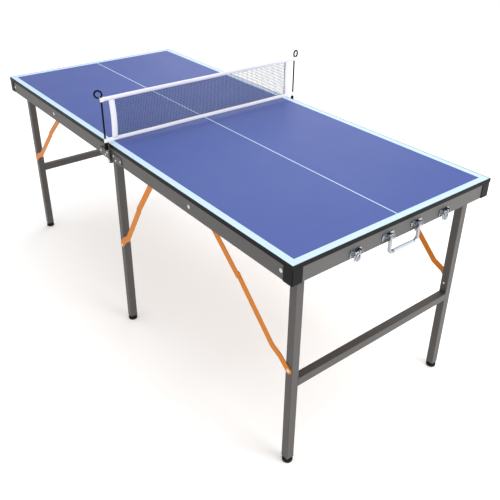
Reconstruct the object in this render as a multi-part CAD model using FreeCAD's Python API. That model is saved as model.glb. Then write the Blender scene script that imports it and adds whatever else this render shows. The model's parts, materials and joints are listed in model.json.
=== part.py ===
"""Folding table tennis table: two framed half tops hinged on a centre stand, end legs, braces and a net.

Frame: +X runs along the table towards the end with the carrying handle, +Y across it, +Z up.
The origin is on the floor under the middle of the hinge line. All sizes are millimetres.
"Near" is the -Y side and "far" the +Y side. Half A is the handle half (+X) and half B the other one.
Each half is drawn as half A and mirrored to make half B. Insets are measured inwards from a table side.
"""

import FreeCAD
import Part
import math
import os

Vec = FreeCAD.Vector
ALONG_Y = Vec(0, 1, 0)

# Overall size
LENGTH = 1524.0
WIDTH = 660.0
HEIGHT = 610.0

# Half tops: a coated board with an edge band, on thin aluminium rails
BOARD_THICK = 10.0
BAND_THICK = 2.5
RAIL_HEIGHT = 38.0
RAIL_WALL = 2.0
RAIL_INSET = 2.0
RAIL_FLANGE = 14.0
HALF_GAP = 1.0
RAIL_END_GAP = 2.0
INNER_RAIL_X = 4.0
INNER_RAIL_HEIGHT = 25.0
CAP_ARM = 28.0
CAP_ROUND = 3.0
HINGE_DROP = 0.5

# Legs: square tube, with plastic feet
TUBE = 22.0
TUBE_WALL = 1.5
TUBE_CORNER = 2.0
FOOT_RADIUS = 13.5
FOOT_DISC = 9.0
FOOT_NECK_RADIUS = 8.0
FOOT_HEIGHT = 14.0
FOOT_PLUG = 22.0
FOOT_ROUND = 1.5
CROSSBAR_HEIGHT = 255.0

# Places of the parts across the table, as insets of their outer face from the table side
CENTRE_UPPER_INSET = 5.4
CENTRE_LOWER_INSET = 7.8
CENTRE_LEG_INSET = 10.2
END_UPPER_INSET = 33.6
END_LOWER_INSET = 36.0
BRACKET_OUTER_INSET = 36.0
END_LEG_INSET = 38.4
BRACKET_INNER_INSET = 60.8
BRACKET_MARGIN = 3.0

# Braces: flat links with pivot holes
LINK_THICK = 2.0
LINK_WIDTH = 18.0
LINK_JOG = 11.0
LINK_GAP = 0.2
JOG_START = 0.73
JOG_END = 0.85
JOG_END_SHARE = 0.15
KNEE_HEAD_HEIGHT = 1.0

# Pivots, in the hinge frame: X from the hinge line, Z from the hinge axis
LEG_PIVOT_X = 725.0
LEG_PIVOT_Z = 20.0
LEG_TOP = 4.0
END_BRACE_X = 390.0
END_BRACE_DROP = 285.0
CENTRE_BRACE_Z = 14.0
CENTRE_BRACE_DROP = 280.0
CENTRE_UPPER_LENGTH = 150.0
SOLVER_STEPS = 60

# Fasteners and pins
ROD_RADIUS = 4.0
BOLT_RADIUS = 3.0
HEAD_RADIUS = 5.0
HEAD_HEIGHT = 1.6
RIVET_RADIUS = 3.2
RIVET_HEIGHT = 1.2
RIVET_END = 0.8
TIGHT_GAP = 0.02
RUNNING_GAP = 0.05
ROD_NOTCH = 5.5

# Hinge leaves and the centre stand's net sockets
LEAF_START = 8.0
LEAF_END = 62.0
LEAF_LOW = 0.5
LEAF_HIGH = 24.0
LEAF_ROUND = 8.0
LEAF_RIVETS = ((16.0, 18.0), (27.0, 8.0), (54.0, 13.0))
EAR_RADIUS = 9.0
EAR_ROOM = 0.5
EAR_RISE = 14.0
EAR_ARM_WIDTH = 16.0
LEAF_B_PROUD = 2.6
LEAF_B_GAP = 0.6
STRAP_INSET = -6.2
STRAP_THICK = 3.0
STRAP_HALF_WIDTH = 4.5
STRAP_TOP = 46.0
SOCKET_REACH = 5.0
SOCKET_RADIUS = 3.9
SOCKET_PAD = 3.2
SOCKET_LOW = 34.0
SOCKET_HIGH = 52.0

# Net
POST_RADIUS = 2.5
POST_LOW = 36.0
NET_GAP = 7.0
NET_HEIGHT = 128.0
TAPE_HEIGHT = 12.0
TAPE_THICK = 3.0
TAPE_SLEEVE = 4.2
SIDE_TAPE_OUT = 320.0
SIDE_TAPE_IN = 303.5
NET_THICK = 1.0
EYE_RADIUS = 10.0
EYE_TURN = 320.0
EYE_START = -45.0
EYE_RISE = 1.5
NEAR_EYE_ANGLE = 235.0
FAR_EYE_ANGLE = 105.0

# Handle and latches on the end of half A, keepers on the end of half B
HANDLE_HALF = 48.0
HANDLE_PIVOT_X = 769.5
HANDLE_PIVOT_Z = 17.5
HANDLE_DROP = 41.0
BAIL_RADIUS = 4.4
BAIL_BEND = 11.0
BAIL_EYE_RADIUS = 5.6
BAIL_PIN_RADIUS = 3.0
BAIL_PIN_HALF = 8.5
GRIP_RADIUS = 5.3
GRIP_HALF = 35.0
MOUNT_CHEEK_IN = 5.2
MOUNT_CHEEK_OUT = 8.0
MOUNT_CHEEK_RADIUS = 6.2
MOUNT_HOOD_RADIUS = 7.6
MOUNT_HOOD_LOW = 5.0
MOUNT_PLATE_HALF_WIDTH = 19.0
MOUNT_PLATE_HALF_HEIGHT = 8.5
MOUNT_SCREW_REACH = 14.0
SCREW_RADIUS = 4.0
SCREW_TOP_RADIUS = 2.8
SCREW_HEIGHT = 1.8
END_PLATE_ROUND = 0.25
LATCH_Y = 150.0
LATCH_HALF_WIDTH = 18.0
LATCH_PLATE_LOW = 2.0
LATCH_PLATE_HIGH = 23.0
LATCH_SCREW_REACH = 14.8
LATCH_SCREW_RADIUS = 2.4
LATCH_SCREW_Z = 8.0
LATCH_PIVOT_X = 767.5
LATCH_PIVOT_Z = 16.5
LATCH_EAR_RADIUS = 4.5
LATCH_EAR_THICK = 1.8
LEVER_GAP = 0.5
LEVER_HALF_WIDTH = 9.5
LEVER_THICK = 2.0
LEVER_HUB_RADIUS = 3.4
LEVER_REACH = 22.0
LEVER_LIP = 5.0
LEVER_PIN = 1.5
LEVER_PIN_END = 2.8
KEEPER_HALF_WIDTH = 12.0
KEEPER_HOOK_HALF_WIDTH = 8.0
KEEPER_PLATE = (2.0, 17.0)
KEEPER_SHELF = (5.0, 7.0)
KEEPER_HOOK = (7.0, 11.0)
KEEPER_REACH = 6.0
KEEPER_HOOK_THICK = 1.5

HALF_LENGTH = LENGTH / 2
SIDE = WIDTH / 2
HINGE_Z = HEIGHT - BOARD_THICK - RAIL_HEIGHT - HINGE_DROP
RAIL_LOW = HINGE_DROP
RAIL_HIGH = RAIL_LOW + RAIL_HEIGHT
TOP = RAIL_HIGH + BOARD_THICK
RAIL_END = HALF_LENGTH - RAIL_INSET
POST_Y = -(SIDE - STRAP_INSET + SOCKET_REACH)


def near(inset):
    """Y of a point that lies this far inside the near side of the table."""
    return inset - SIDE


def box(x_range, y_range, z_range):
    """A box between two X, two Y and two Z values."""
    size = [high - low for low, high in (x_range, y_range, z_range)]
    return Part.makeBox(*size, Vec(x_range[0], y_range[0], z_range[0]))


def pin(x, z, radius, y_range):
    """A round bar along Y."""
    return Part.makeCylinder(radius, y_range[1] - y_range[0], Vec(x, y_range[0], z), ALONG_Y)


def dome(x, z, radius, y_face, height):
    """A low domed head on a face that looks to -Y."""
    sphere_radius = (radius * radius + height * height) / (2 * height)
    ball = Part.makeSphere(sphere_radius, Vec(x, y_face + sphere_radius - height, z))
    return ball.common(pin(x, z, radius, (y_face - height, y_face)))


def joined(shapes):
    """One solid made from shapes that touch or overlap."""
    result = shapes[0].multiFuse(shapes[1:]) if len(shapes) > 1 else shapes[0]
    return result.removeSplitter()


def rounded(shape, radius, direction):
    """The shape with its straight outer edges along one direction rounded."""
    edges = [edge for edge in shape.Edges if edge.tangentAt(0).cross(direction).Length < 1e-6]
    return shape.makeFillet(radius, edges)


def group(shapes):
    """Separate solids that share a node."""
    return Part.makeCompound(shapes)


def both_sides(shape):
    """The near piece and its twin on the far side."""
    return [shape, shape.mirror(Vec(0, 0, 0), ALONG_Y)]


def far(shape):
    """The far-side twin of a near-side piece."""
    return shape.mirror(Vec(0, 0, 0), ALONG_Y)


def placed(shape):
    """Moves a piece from the hinge frame to its height over the floor."""
    moved = shape.copy()
    moved.translate(Vec(0, 0, HINGE_Z))
    return moved


def half_b(shape):
    """The twin of a half A piece on half B."""
    return shape.mirror(Vec(0, 0, 0), Vec(1, 0, 0))


def bar_run(start, end, width, y_range):
    """A flat bar in the XZ plane between two points, with round ends."""
    dx = end[0] - start[0]
    dz = end[1] - start[1]
    run = math.hypot(dx, dz)
    side = (-dz / run * width / 2, dx / run * width / 2)
    corners = [
        (start[0] + side[0], start[1] + side[1]),
        (end[0] + side[0], end[1] + side[1]),
        (end[0] - side[0], end[1] - side[1]),
        (start[0] - side[0], start[1] - side[1]),
    ]
    outline = [Vec(x, y_range[0], z) for x, z in corners]
    face = Part.Face(Part.makePolygon(outline + outline[:1]))
    plate = face.extrude(Vec(0, y_range[1] - y_range[0], 0))
    ends = [pin(p[0], p[1], width / 2, y_range) for p in (start, end)]
    return joined([plate] + ends)


def link(points, inset, hole_points):
    """A flat link along a few points, with pivot holes, its outer face at this inset."""
    y_range = (near(inset), near(inset + LINK_THICK))
    runs = [bar_run(a, b, LINK_WIDTH, y_range) for a, b in zip(points, points[1:])]
    holes = [pin(p[0], p[1], BOLT_RADIUS + LINK_GAP, y_range) for p in hole_points]
    return joined(runs).cut(group(holes))


def swept_bar(points, radius, bend):
    """A round bar through points in a plane of constant X, with an arc at each inner point."""
    edges = []
    last = points[0]
    for before, corner, after in zip(points, points[1:], points[2:]):
        back = (before - corner).normalize()
        onward = (after - corner).normalize()
        half_angle = math.acos(back.dot(onward)) / 2
        reach = bend / math.tan(half_angle)
        enter = corner + back * reach
        leave = corner + onward * reach
        inward = (back + onward).normalize()
        middle = corner + inward * (bend / math.sin(half_angle) - bend)
        edges.append(Part.LineSegment(last, enter).toShape())
        edges.append(Part.Arc(enter, middle, leave).toShape())
        last = leave
    edges.append(Part.LineSegment(last, points[-1]).toShape())
    path = Part.Wire(edges)
    ring = Part.Wire([Part.Circle(points[0], points[1] - points[0], radius).toShape()])
    return path.makePipeShell([ring], True, False)


# Half tops


def board():
    """The playing board of half A, inside its edge band."""
    return box(
        (HALF_GAP, HALF_LENGTH - BAND_THICK),
        (near(BAND_THICK), -near(BAND_THICK)),
        (RAIL_HIGH, TOP),
    )


def edge_band():
    """Plastic band round the board's three outer edges, as three strips."""
    z_range = (RAIL_HIGH, TOP)
    side_strip = box((HALF_GAP, HALF_LENGTH - BAND_THICK), (near(0), near(BAND_THICK)), z_range)
    end_strip = box((HALF_LENGTH - BAND_THICK, HALF_LENGTH), (near(0), -near(0)), z_range)
    return group(both_sides(side_strip) + [end_strip])


def side_rail():
    """Thin angle rail under the near edge of the board, drilled for its bolts and pins."""
    outer = RAIL_INSET
    inner = RAIL_INSET + RAIL_WALL
    web = box((RAIL_END_GAP, RAIL_END), (near(outer), near(inner)), (RAIL_LOW, RAIL_HIGH))
    flange = box(
        (RAIL_END_GAP, RAIL_END - RAIL_WALL),
        (near(inner), near(outer + RAIL_FLANGE)),
        (RAIL_HIGH - RAIL_WALL, RAIL_HIGH),
    )
    holes = [
        pin(x, z, radius, (near(outer), near(inner)))
        for x, z, radius in (
            (LEG_PIVOT_X, LEG_PIVOT_Z, BOLT_RADIUS + TIGHT_GAP),
            (END_BRACE_X, LEG_PIVOT_Z, BOLT_RADIUS + TIGHT_GAP),
            (0, 0, ROD_NOTCH),
        )
    ]
    return joined([web, flange]).cut(group(holes))


def end_rail():
    """Angle rail across the outer end of half A, between the side rails."""
    y_web = (near(RAIL_INSET + RAIL_WALL), -near(RAIL_INSET + RAIL_WALL))
    y_flange = (near(RAIL_INSET + RAIL_FLANGE), -near(RAIL_INSET + RAIL_FLANGE))
    web = box((RAIL_END - RAIL_WALL, RAIL_END), y_web, (RAIL_LOW, RAIL_HIGH))
    flange = box(
        (RAIL_END - RAIL_FLANGE, RAIL_END - RAIL_WALL), y_flange, (RAIL_HIGH - RAIL_WALL, RAIL_HIGH)
    )
    return joined([web, flange])


def inner_rail():
    """Shallow angle rail across the hinge end of half A, clear of the centre legs when folded."""
    y_web = (near(RAIL_INSET + RAIL_WALL), -near(RAIL_INSET + RAIL_WALL))
    y_flange = (near(RAIL_INSET + RAIL_FLANGE), -near(RAIL_INSET + RAIL_FLANGE))
    web = box(
        (INNER_RAIL_X, INNER_RAIL_X + RAIL_WALL), y_web, (RAIL_HIGH - INNER_RAIL_HEIGHT, RAIL_HIGH)
    )
    web = web.cut(
        group(
            both_sides(
                box(
                    (INNER_RAIL_X, INNER_RAIL_X + RAIL_WALL),
                    (y_web[0], y_flange[0]),
                    (RAIL_HIGH - RAIL_WALL, RAIL_HIGH),
                )
            )
        )
    )
    flange = box(
        (INNER_RAIL_X + RAIL_WALL, INNER_RAIL_X + RAIL_FLANGE),
        y_flange,
        (RAIL_HIGH - RAIL_WALL, RAIL_HIGH),
    )
    return joined([web, flange])


def corner_cap():
    """Plastic cap round the outer near corner of the rails."""
    side_arm = box((HALF_LENGTH - CAP_ARM, HALF_LENGTH), (near(0), near(RAIL_INSET)), (RAIL_LOW, RAIL_HIGH))
    end_arm = box((RAIL_END, HALF_LENGTH), (near(0), near(CAP_ARM)), (RAIL_LOW, RAIL_HIGH))
    corner = box(
        (HALF_LENGTH - CAP_ROUND, HALF_LENGTH), (near(0), near(CAP_ROUND)), (RAIL_LOW, RAIL_HIGH)
    )
    post = Part.makeCylinder(
        CAP_ROUND,
        RAIL_HEIGHT,
        Vec(HALF_LENGTH - CAP_ROUND, near(CAP_ROUND), RAIL_LOW),
    )
    cap = joined([side_arm, end_arm])
    return cap.cut(corner.cut(post))


def leg_bracket():
    """U bracket under the board that carries the near end leg's pivot bolt."""
    half = TUBE / 2 + BRACKET_MARGIN
    wall = RAIL_WALL
    x_range = (LEG_PIVOT_X - half, LEG_PIVOT_X + half)
    base_low = RAIL_HIGH - wall
    base = box(
        x_range,
        (near(BRACKET_OUTER_INSET), near(BRACKET_INNER_INSET + wall)),
        (base_low, RAIL_HIGH),
    )
    cheeks = []
    for inset in (BRACKET_OUTER_INSET, BRACKET_INNER_INSET):
        y_range = (near(inset), near(inset + wall))
        plate = box(x_range, y_range, (LEG_PIVOT_Z, base_low))
        cheeks.append(plate)
        cheeks.append(pin(LEG_PIVOT_X, LEG_PIVOT_Z, half, y_range))
    bracket = joined([base] + cheeks)
    y_through = (near(BRACKET_OUTER_INSET), near(BRACKET_INNER_INSET + wall))
    return bracket.cut(pin(LEG_PIVOT_X, LEG_PIVOT_Z, BOLT_RADIUS + TIGHT_GAP, y_through))


def leg_bolt():
    """Shoulder bolt from the rail's outer face through the leg and its bracket, with a nut."""
    nut_start = BRACKET_INNER_INSET + RAIL_WALL
    shaft = pin(LEG_PIVOT_X, LEG_PIVOT_Z, BOLT_RADIUS, (near(RAIL_INSET), near(nut_start)))
    nut = pin(LEG_PIVOT_X, LEG_PIVOT_Z, HEAD_RADIUS, (near(nut_start), near(nut_start + BOLT_RADIUS)))
    head = dome(LEG_PIVOT_X, LEG_PIVOT_Z, HEAD_RADIUS, near(RAIL_INSET), HEAD_HEIGHT)
    return joined([head, shaft, nut])


def brace_bolt():
    """Shoulder bolt that carries the near end brace from the rail, flush with the upper link."""
    end = END_UPPER_INSET + LINK_THICK
    shaft = pin(END_BRACE_X, LEG_PIVOT_Z, BOLT_RADIUS, (near(RAIL_INSET), near(end)))
    head = dome(END_BRACE_X, LEG_PIVOT_Z, HEAD_RADIUS, near(RAIL_INSET), HEAD_HEIGHT)
    return joined([head, shaft])


def centre_brace_pin(pivot_x):
    """Pin on the rail's inner face that carries the near centre brace."""
    y_range = (near(RAIL_INSET + RAIL_WALL), near(CENTRE_UPPER_INSET + LINK_THICK))
    return pin(pivot_x, CENTRE_BRACE_Z, BOLT_RADIUS, y_range)


def leaf_rivets(y_face):
    """Rivet heads on a hinge leaf."""
    return [dome(x, z, RIVET_RADIUS, y_face, RIVET_HEIGHT) for x, z in LEAF_RIVETS]


def leaf_plate(y_range):
    """A hinge leaf's plate, with rounded corners at its outer end."""
    plate = box((LEAF_START, LEAF_END), y_range, (LEAF_LOW, LEAF_HIGH))
    outer_edges = [
        edge
        for edge in plate.Edges
        if abs(edge.Vertexes[0].X - LEAF_END) + abs(edge.Vertexes[-1].X - LEAF_END) < TIGHT_GAP
        and abs(edge.Vertexes[0].Z - edge.Vertexes[-1].Z) < TIGHT_GAP
    ]
    return plate.makeFillet(LEAF_ROUND, outer_edges)


def leaf_ear(y_range):
    """The ear of a hinge leaf, from the rod to the plate."""
    arm = bar_run((0, 0), (LEAF_START + EAR_RADIUS, EAR_RISE), EAR_ARM_WIDTH, y_range)
    arm = arm.common(box((-EAR_RADIUS, LEAF_END), y_range, (LEAF_LOW, LEAF_HIGH)))
    return joined([pin(0, 0, EAR_RADIUS, y_range), arm])


def hinge_leaf_a():
    """Leaf riveted to half A's near rail, with its ear on the rod."""
    y_range = (near(0), near(RAIL_INSET))
    leaf = joined([leaf_plate(y_range), leaf_ear(y_range)])
    leaf = leaf.cut(pin(0, 0, ROD_RADIUS + RUNNING_GAP, y_range))
    return joined([leaf] + leaf_rivets(near(0)))


def hinge_leaf_b():
    """Leaf for half B, stepped outwards so that its ear lies outside the ear of half A."""
    room = pin(0, 0, EAR_RADIUS + EAR_ROOM, (near(-LEAF_B_GAP), near(RAIL_INSET)))
    plate = leaf_plate((near(-LEAF_B_PROUD), near(RAIL_INSET))).cut(room)
    ear_range = (near(-LEAF_B_PROUD), near(-LEAF_B_GAP))
    leaf = joined([plate, leaf_ear(ear_range)])
    leaf = leaf.cut(pin(0, 0, ROD_RADIUS + RUNNING_GAP, ear_range))
    return joined([leaf] + leaf_rivets(near(-LEAF_B_PROUD)))


# Legs


def tube_post(x, inset, z_range):
    """A length of square tube standing on end."""
    half = TUBE / 2
    hole = half - TUBE_WALL
    y_mid = near(inset) + half
    outer = box((x - half, x + half), (y_mid - half, y_mid + half), z_range)
    inner = box((x - hole, x + hole), (y_mid - hole, y_mid + hole), z_range)
    return rounded(outer, TUBE_CORNER, Vec(0, 0, 1)).cut(inner)


def centre_leg():
    """Near leg of the centre stand, with a solid lug on the hinge rod."""
    foot_top = FOOT_HEIGHT - HINGE_Z
    y_range = (near(CENTRE_LEG_INSET), near(CENTRE_LEG_INSET + TUBE))
    tube = tube_post(0, CENTRE_LEG_INSET, (foot_top, 0))
    lug = pin(0, 0, TUBE / 2, y_range)
    bore = pin(0, 0, ROD_RADIUS + TIGHT_GAP, y_range)
    rivet_hole = pin(0, -CENTRE_BRACE_DROP, BOLT_RADIUS + TIGHT_GAP, (y_range[0], y_range[0] + TUBE_WALL))
    return joined([tube, lug]).cut(group([bore, rivet_hole]))


def end_leg():
    """Near end leg of half A, drilled for its pivot bolt and brace rivet."""
    foot_top = FOOT_HEIGHT - HINGE_Z
    y_range = (near(END_LEG_INSET), near(END_LEG_INSET + TUBE))
    tube = tube_post(LEG_PIVOT_X, END_LEG_INSET, (foot_top, LEG_PIVOT_Z + LEG_TOP))
    bore = pin(LEG_PIVOT_X, LEG_PIVOT_Z, BOLT_RADIUS + RUNNING_GAP, y_range)
    rivet_z = LEG_PIVOT_Z - END_BRACE_DROP
    rivet_hole = pin(LEG_PIVOT_X, rivet_z, BOLT_RADIUS + TIGHT_GAP, y_range)
    return tube.cut(group([bore, rivet_hole]))


def crossbar():
    """Tube across the end legs of half A."""
    half = TUBE / 2
    hole = half - TUBE_WALL
    y_range = (near(END_LEG_INSET + TUBE), -near(END_LEG_INSET + TUBE))
    z_mid = CROSSBAR_HEIGHT - HINGE_Z
    outer = box((LEG_PIVOT_X - half, LEG_PIVOT_X + half), y_range, (z_mid - half, z_mid + half))
    inner = box((LEG_PIVOT_X - hole, LEG_PIVOT_X + hole), y_range, (z_mid - hole, z_mid + hole))
    return rounded(outer, TUBE_CORNER, ALONG_Y).cut(inner)


def foot(x, inset):
    """Moulded foot: a round pad, a neck, and a plug inside the tube."""
    y_mid = near(inset) + TUBE / 2
    floor = -HINGE_Z
    plug_half = TUBE / 2 - TUBE_WALL - RUNNING_GAP
    pad = Part.makeCylinder(FOOT_RADIUS, FOOT_DISC, Vec(x, y_mid, floor))
    pad = pad.makeFillet(FOOT_ROUND, [edge for edge in pad.Edges if edge.Curve.TypeId == "Part::GeomCircle"])
    neck = Part.makeCylinder(FOOT_NECK_RADIUS, FOOT_HEIGHT, Vec(x, y_mid, floor))
    plug = box(
        (x - plug_half, x + plug_half),
        (y_mid - plug_half, y_mid + plug_half),
        (floor + FOOT_HEIGHT, floor + FOOT_HEIGHT + FOOT_PLUG),
    )
    return joined([pad, neck, plug])


def brace_rivet(x, z, link_inset, end_inset):
    """Rivet through a brace's lower end into a leg, with a low head on the brace."""
    y_range = (near(link_inset), near(end_inset))
    head = dome(x, z, HEAD_RADIUS, near(link_inset), HEAD_HEIGHT)
    return joined([pin(x, z, BOLT_RADIUS, y_range), head])


# Braces


def end_brace_lengths():
    """Upper and lower link lengths: straight when the leg stands, and doubled back when it is folded."""
    open_span = math.hypot(LEG_PIVOT_X - END_BRACE_X, END_BRACE_DROP)
    folded_span = LEG_PIVOT_X - END_BRACE_DROP - END_BRACE_X
    return (open_span - folded_span) / 2, (open_span + folded_span) / 2


def centre_brace_pivot():
    """X of the centre brace's rail pivot, where the open and folded brace both close."""

    def mismatch(x):
        lower = math.hypot(CENTRE_BRACE_DROP + CENTRE_UPPER_LENGTH - x, CENTRE_BRACE_Z)
        return CENTRE_UPPER_LENGTH + lower - math.hypot(x, CENTRE_BRACE_DROP + CENTRE_BRACE_Z)

    low = 0.0
    high = CENTRE_BRACE_DROP
    for _ in range(SOLVER_STEPS):
        middle = (low + high) / 2
        if mismatch(middle) > 0:
            low = middle
        else:
            high = middle
    return low


def point_between(start, end, distance):
    """The point this far along the line from start to end."""
    share = distance / math.hypot(end[0] - start[0], end[1] - start[1])
    return (start[0] + (end[0] - start[0]) * share, start[1] + (end[1] - start[1]) * share)


def jogged(start, end, jog):
    """Points from start to end that leave the straight line near the end and step back to it."""
    length = math.hypot(end[0] - start[0], end[1] - start[1])
    side = ((end[1] - start[1]) / length * jog, -(end[0] - start[0]) / length * jog)
    first = point_between(start, end, JOG_START * length)
    second = point_between(start, end, JOG_END * length)
    return [
        start,
        (first[0] + side[0], first[1] + side[1]),
        (second[0] + side[0] * JOG_END_SHARE, second[1] + side[1] * JOG_END_SHARE),
        end,
    ]


def brace_links(rail_pivot, leg_pivot, upper_length, upper_inset, lower_inset, jog):
    """The upper and lower link of one brace, standing straight."""
    knee = point_between(rail_pivot, leg_pivot, upper_length)
    head = dome(knee[0], knee[1], HEAD_RADIUS, near(upper_inset), KNEE_HEAD_HEIGHT)
    upper = joined([link([rail_pivot, knee], upper_inset, [rail_pivot]), head])
    lower = link(jogged(knee, leg_pivot, jog), lower_inset, [knee, leg_pivot])
    return upper, lower


def end_brace():
    """Near end brace of half A."""
    upper_length = end_brace_lengths()[0]
    rail_pivot = (END_BRACE_X, LEG_PIVOT_Z)
    leg_pivot = (LEG_PIVOT_X, LEG_PIVOT_Z - END_BRACE_DROP)
    return brace_links(
        rail_pivot, leg_pivot, upper_length, END_UPPER_INSET, END_LOWER_INSET, LINK_JOG
    )


def centre_brace(pivot_x):
    """Near brace between the centre leg and half A."""
    rail_pivot = (pivot_x, CENTRE_BRACE_Z)
    leg_pivot = (0, -CENTRE_BRACE_DROP)
    return brace_links(
        rail_pivot, leg_pivot, CENTRE_UPPER_LENGTH, CENTRE_UPPER_INSET, CENTRE_LOWER_INSET, -LINK_JOG
    )


# Centre stand's rod, straps and sockets


def hinge_rod():
    """Steel rod on the hinge axis, right across the table."""
    return pin(0, 0, ROD_RADIUS, (near(STRAP_INSET), -near(STRAP_INSET)))


def socket_strap():
    """Strap on the near end of the rod that holds the net socket upright."""
    y_range = (near(STRAP_INSET), near(STRAP_INSET + STRAP_THICK))
    half = STRAP_HALF_WIDTH
    strap = joined([box((-half, half), y_range, (0, STRAP_TOP)), pin(0, 0, half + 2, y_range)])
    return strap.cut(pin(0, 0, ROD_RADIUS + TIGHT_GAP, y_range))


def net_socket():
    """Upright plastic tube for the near net post, with a flat back against its strap."""
    base = Vec(0, POST_Y, SOCKET_LOW)
    height = SOCKET_HIGH - SOCKET_LOW
    pad = box((-SOCKET_PAD, SOCKET_PAD), (POST_Y, near(STRAP_INSET)), (SOCKET_LOW, SOCKET_HIGH))
    tube = joined([Part.makeCylinder(SOCKET_RADIUS, height, base), pad])
    return tube.cut(Part.makeCylinder(POST_RADIUS + RUNNING_GAP, height, base))


# Net


def net_post(y, eye_angle):
    """A net post: a steel wire bent into an eye at its top, turned to this angle from +X."""
    top = TOP + NET_GAP + NET_HEIGHT + EYE_RISE
    start = math.radians(EYE_START)
    shaft = Part.makeCylinder(POST_RADIUS, top - POST_LOW, Vec(0, 0, POST_LOW))
    elbow = Part.makeSphere(POST_RADIUS, Vec(0, 0, top))
    eye = Part.makeTorus(EYE_RADIUS, POST_RADIUS, Vec(0, 0, 0), Vec(0, 0, 1), -180, 180, EYE_TURN)
    eye.rotate(Vec(0, 0, 0), Vec(0, 0, 1), EYE_START)
    eye.rotate(Vec(0, 0, 0), Vec(1, 0, 0), 90)
    eye.translate(Vec(-EYE_RADIUS * math.cos(start), 0, top - EYE_RADIUS * math.sin(start)))
    post = joined([shaft, elbow, eye])
    post.rotate(Vec(0, 0, 0), Vec(0, 0, 1), eye_angle - 180)
    post.translate(Vec(0, y, 0))
    return post


def level_tape(z_low):
    """A tape between the posts, with a sleeve round each post."""
    z_range = (z_low, z_low + TAPE_HEIGHT)
    half = TAPE_THICK / 2
    strip = box((-half, half), (POST_Y + POST_RADIUS, -POST_Y - POST_RADIUS), z_range)
    sleeve = Part.makeCylinder(TAPE_SLEEVE, TAPE_HEIGHT, Vec(0, POST_Y, z_low))
    bore = Part.makeCylinder(POST_RADIUS + RUNNING_GAP, TAPE_HEIGHT, Vec(0, POST_Y, z_low))
    return joined([strip] + both_sides(sleeve)).cut(group(both_sides(bore)))


def side_tape():
    """The near upright tape at the edge of the net."""
    half = TAPE_THICK / 2
    bottom = TOP + NET_GAP + TAPE_HEIGHT
    return box((-half, half), (-SIDE_TAPE_OUT, -SIDE_TAPE_IN), (bottom, bottom + mesh_height()))


def mesh_height():
    """Height of the net between its level tapes."""
    return NET_HEIGHT - 2 * TAPE_HEIGHT


def net_mesh():
    """The net itself, between its tapes."""
    half = NET_THICK / 2
    bottom = TOP + NET_GAP + TAPE_HEIGHT
    return box((-half, half), (-SIDE_TAPE_IN, SIDE_TAPE_IN), (bottom, bottom + mesh_height()))


# Handle, latches and keepers


def handle_bail():
    """U-shaped carrying handle: its two arms end in eyes with cross pins."""
    bottom = HANDLE_PIVOT_Z - HANDLE_DROP
    route = [
        (-HANDLE_HALF, HANDLE_PIVOT_Z),
        (-HANDLE_HALF, bottom),
        (HANDLE_HALF, bottom),
        (HANDLE_HALF, HANDLE_PIVOT_Z),
    ]
    shapes = [swept_bar([Vec(HANDLE_PIVOT_X, y, z) for y, z in route], BAIL_RADIUS, BAIL_BEND)]
    for y_mid in (-HANDLE_HALF, HANDLE_HALF):
        eye_range = (y_mid - BAIL_RADIUS, y_mid + BAIL_RADIUS)
        pin_range = (y_mid - BAIL_PIN_HALF, y_mid + BAIL_PIN_HALF)
        shapes.append(pin(HANDLE_PIVOT_X, HANDLE_PIVOT_Z, BAIL_EYE_RADIUS, eye_range))
        shapes.append(pin(HANDLE_PIVOT_X, HANDLE_PIVOT_Z, BAIL_PIN_RADIUS, pin_range))
    return joined(shapes)


def handle_grip():
    """Sleeve on the handle's level bar."""
    z = HANDLE_PIVOT_Z - HANDLE_DROP
    y_range = (-GRIP_HALF, GRIP_HALF)
    sleeve = pin(HANDLE_PIVOT_X, z, GRIP_RADIUS, y_range)
    return sleeve.cut(pin(HANDLE_PIVOT_X, z, BAIL_RADIUS + TIGHT_GAP, y_range))


def end_plate(y_mid, half_width, z_range):
    """A plate on the end rail's outer face, with rounded ends."""
    plate = box((RAIL_END, RAIL_END + RAIL_WALL), (y_mid - half_width, y_mid + half_width), z_range)
    return rounded(plate, END_PLATE_ROUND * (z_range[1] - z_range[0]), Vec(1, 0, 0))


def end_screw(y, z, radius):
    """A screw head on a plate of the end rail."""
    top_radius = radius * SCREW_TOP_RADIUS / SCREW_RADIUS
    return Part.makeCone(radius, top_radius, SCREW_HEIGHT, Vec(RAIL_END + RAIL_WALL, y, z), Vec(1, 0, 0))


def cheek(x, z, radius, y_range):
    """A bored ear's body, from the end rail's plate to round its pin's centre."""
    root = box((RAIL_END + RAIL_WALL, x), y_range, (z - radius, z + radius))
    return joined([root, pin(x, z, radius, y_range)])


def handle_mount():
    """Near handle mount: a screwed plate with two bored cheeks under a small hood."""
    x, z, y_mid = HANDLE_PIVOT_X, HANDLE_PIVOT_Z, -HANDLE_HALF
    z_range = (z - MOUNT_PLATE_HALF_HEIGHT, z + MOUNT_PLATE_HALF_HEIGHT)
    shapes = [end_plate(y_mid, MOUNT_PLATE_HALF_WIDTH, z_range)]
    for side in (-1, 1):
        y_range = sorted((y_mid + side * MOUNT_CHEEK_IN, y_mid + side * MOUNT_CHEEK_OUT))
        shapes.append(cheek(x, z, MOUNT_CHEEK_RADIUS, y_range))
        shapes.append(end_screw(y_mid + side * MOUNT_SCREW_REACH, z, SCREW_RADIUS))
    hood_range = (y_mid - MOUNT_CHEEK_OUT, y_mid + MOUNT_CHEEK_OUT)
    hood = pin(x, z, MOUNT_HOOD_RADIUS, hood_range).cut(pin(x, z, MOUNT_CHEEK_RADIUS, hood_range))
    above = box(
        (RAIL_END + RAIL_WALL, x + MOUNT_HOOD_RADIUS), hood_range, (z + MOUNT_HOOD_LOW, z + MOUNT_HOOD_RADIUS)
    )
    shapes.append(hood.common(above))
    bore = pin(x, z, BAIL_PIN_RADIUS + RUNNING_GAP, hood_range)
    return joined(shapes).cut(bore)


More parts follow.
